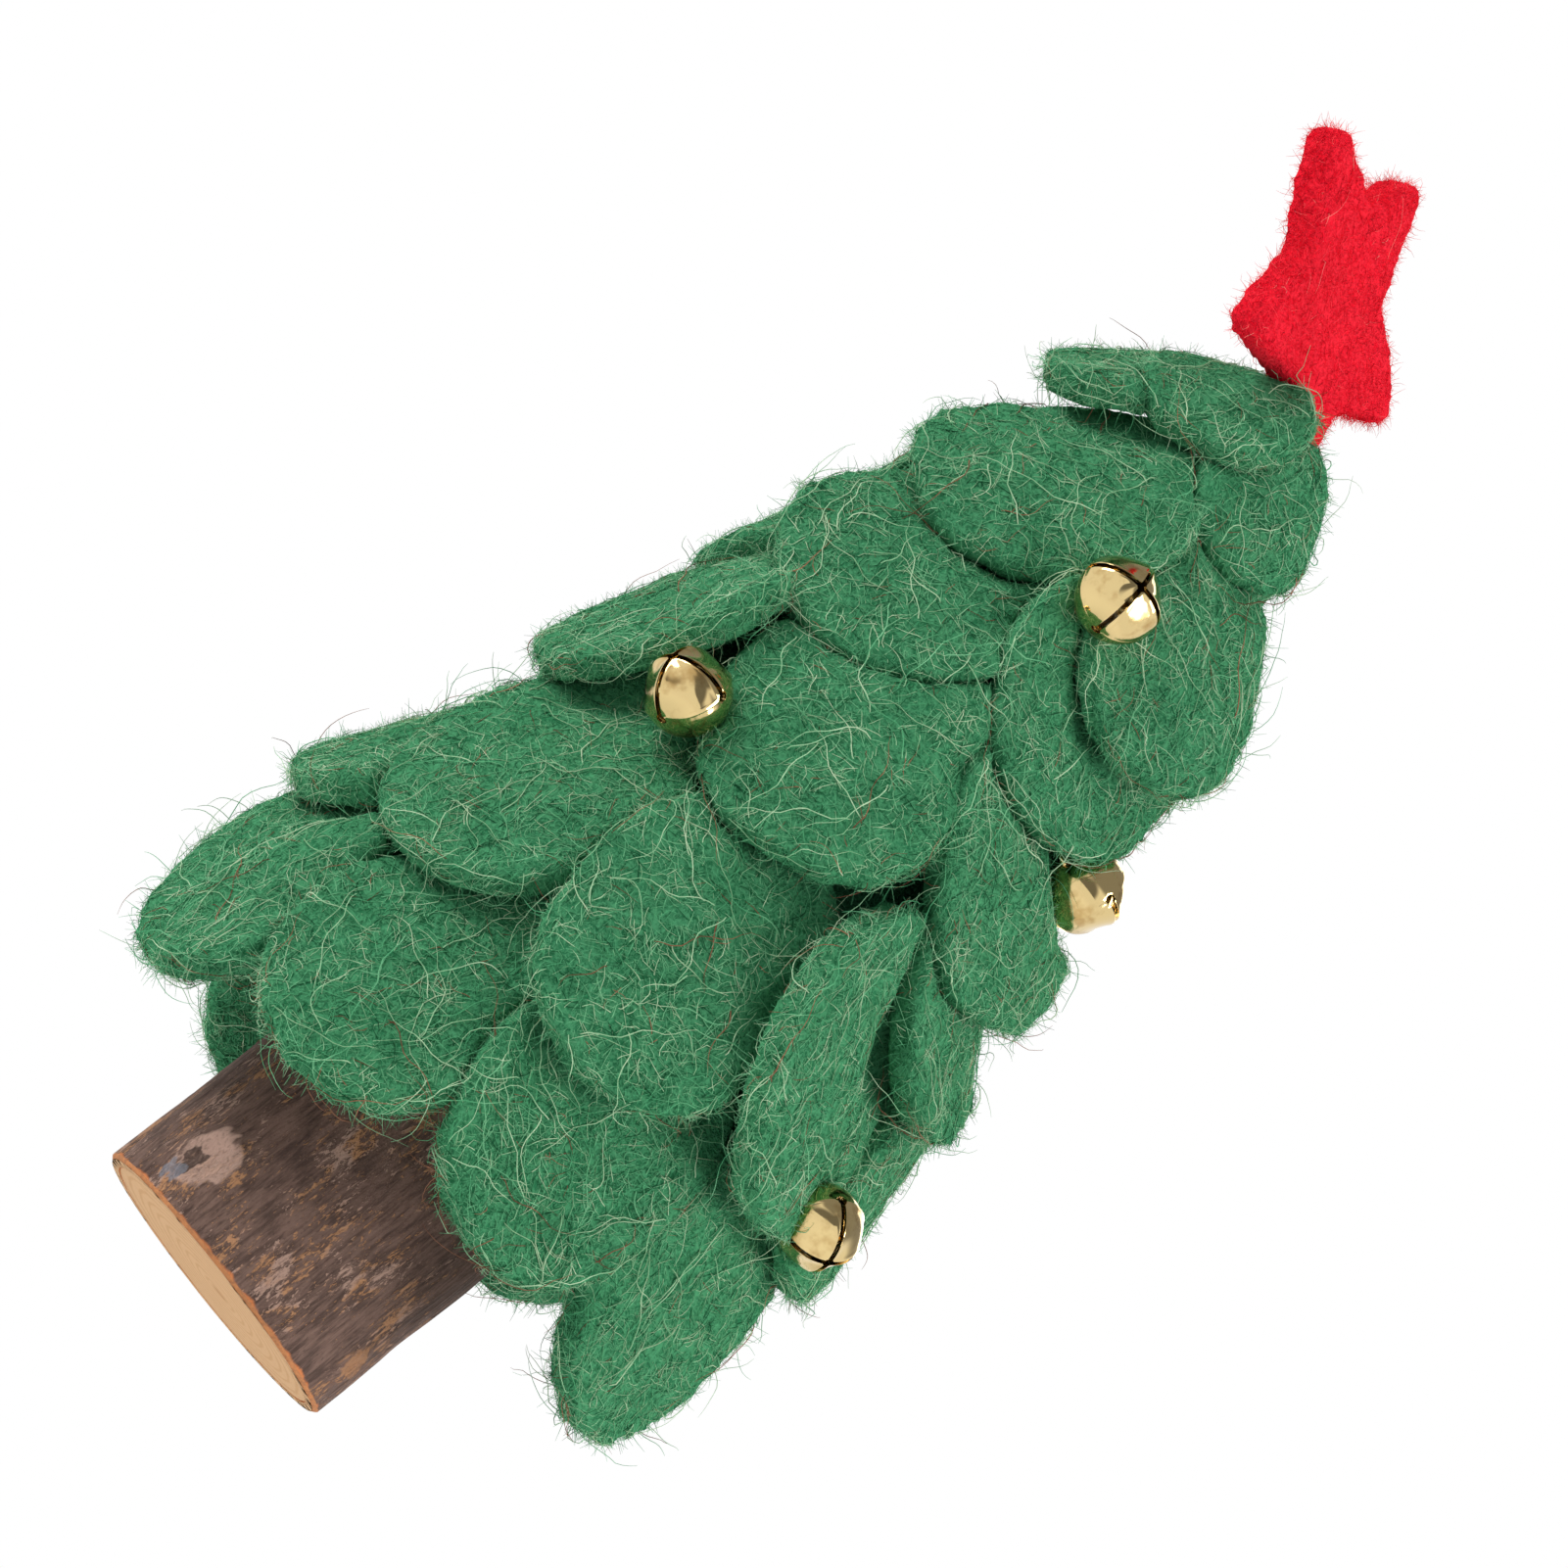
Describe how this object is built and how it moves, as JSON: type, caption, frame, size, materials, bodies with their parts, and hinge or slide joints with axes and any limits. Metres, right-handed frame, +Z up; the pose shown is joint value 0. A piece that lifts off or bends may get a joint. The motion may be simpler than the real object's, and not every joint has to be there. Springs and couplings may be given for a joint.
{
  "type": "felt christmas tree ornament",
  "caption": "Standing christmas tree ornament: overlapping wool felt leaves on a cone, a felt star set in its tip, brass jingle bells on the leaves, and a sawn branch as its trunk.",
  "frame": {"origin": "middle of the trunk's sawn end, which the tree stands on", "axes": "+Z up along the trunk to the star, -Y out of the front that the picture shows, +X to the right of it"},
  "size_m": [0.0671, 0.0639, 0.1516],
  "materials": {
    "green_felt": "matte",
    "red_felt": "matte",
    "core_felt": "matte",
    "bark": "matte",
    "sawn_wood": "matte",
    "brass": "polished",
    "steel": "satin"
  },
  "bodies": {
    "tree": {"trunk_wood": "sawn_wood", "trunk_bark": "bark", "cone_core": "core_felt", "felt_star": "red_felt", "tier1_leaf1": "green_felt", "tier1_leaf2": "green_felt", "tier1_leaf3": "green_felt", "tier1_leaf4": "green_felt", "tier1_leaf5": "green_felt", "tier1_leaf6": "green_felt", "tier1_leaf7": "green_felt", "tier1_leaf8": "green_felt", "tier2_leaf1": "green_felt", "tier2_leaf2": "green_felt", "tier2_leaf3": "green_felt", "tier2_leaf4": "green_felt", "tier2_leaf5": "green_felt", "tier2_leaf6": "green_felt", "tier2_leaf7": "green_felt", "tier2_leaf8": "green_felt", "tier3_leaf1": "green_felt", "tier3_leaf2": "green_felt", "tier3_leaf3": "green_felt", "tier3_leaf4": "green_felt", "tier3_leaf5": "green_felt", "tier3_leaf6": "green_felt", "tier3_leaf7": "green_felt", "tier4_leaf1": "green_felt", "tier4_leaf2": "green_felt", "tier4_leaf3": "green_felt", "tier4_leaf4": "green_felt", "tier4_leaf5": "green_felt", "tier4_leaf6": "green_felt", "tier5_leaf1": "green_felt", "tier5_leaf2": "green_felt", "tier5_leaf3": "green_felt", "tier5_leaf4": "green_felt", "tier5_leaf5": "green_felt", "tier6_leaf1": "green_felt", "tier6_leaf2": "green_felt", "tier6_leaf3": "green_felt", "tier6_leaf4": "green_felt", "bell1_shell": "brass", "bell2_shell": "brass", "bell3_shell": "brass", "bell4_shell": "brass", "bell5_shell": "brass", "bell6_shell": "brass", "bell1_loop": "brass", "bell2_loop": "brass", "bell3_loop": "brass", "bell4_loop": "brass", "bell5_loop": "brass", "bell6_loop": "brass"},
    "rattle1": {"bell1_ball": "steel"},
    "rattle2": {"bell2_ball": "steel"},
    "rattle3": {"bell3_ball": "steel"},
    "rattle4": {"bell4_ball": "steel"},
    "rattle5": {"bell5_ball": "steel"},
    "rattle6": {"bell6_ball": "steel"}
  },
  "joints": [
    {"name": "bell1_rattle", "type": "slide", "parent": "tree", "child": "rattle1", "axis": [0, 0, 1], "range_m": [0, 0.0034]},
    {"name": "bell2_rattle", "type": "slide", "parent": "tree", "child": "rattle2", "axis": [0, 0, 1], "range_m": [0, 0.0034]},
    {"name": "bell3_rattle", "type": "slide", "parent": "tree", "child": "rattle3", "axis": [0, 0, 1], "range_m": [0, 0.0034]},
    {"name": "bell4_rattle", "type": "slide", "parent": "tree", "child": "rattle4", "axis": [0, 0, 1], "range_m": [0, 0.0034]},
    {"name": "bell5_rattle", "type": "slide", "parent": "tree", "child": "rattle5", "axis": [0, 0, 1], "range_m": [0, 0.0034]},
    {"name": "bell6_rattle", "type": "slide", "parent": "tree", "child": "rattle6", "axis": [0, 0, 1], "range_m": [0, 0.0034]}
  ]
}
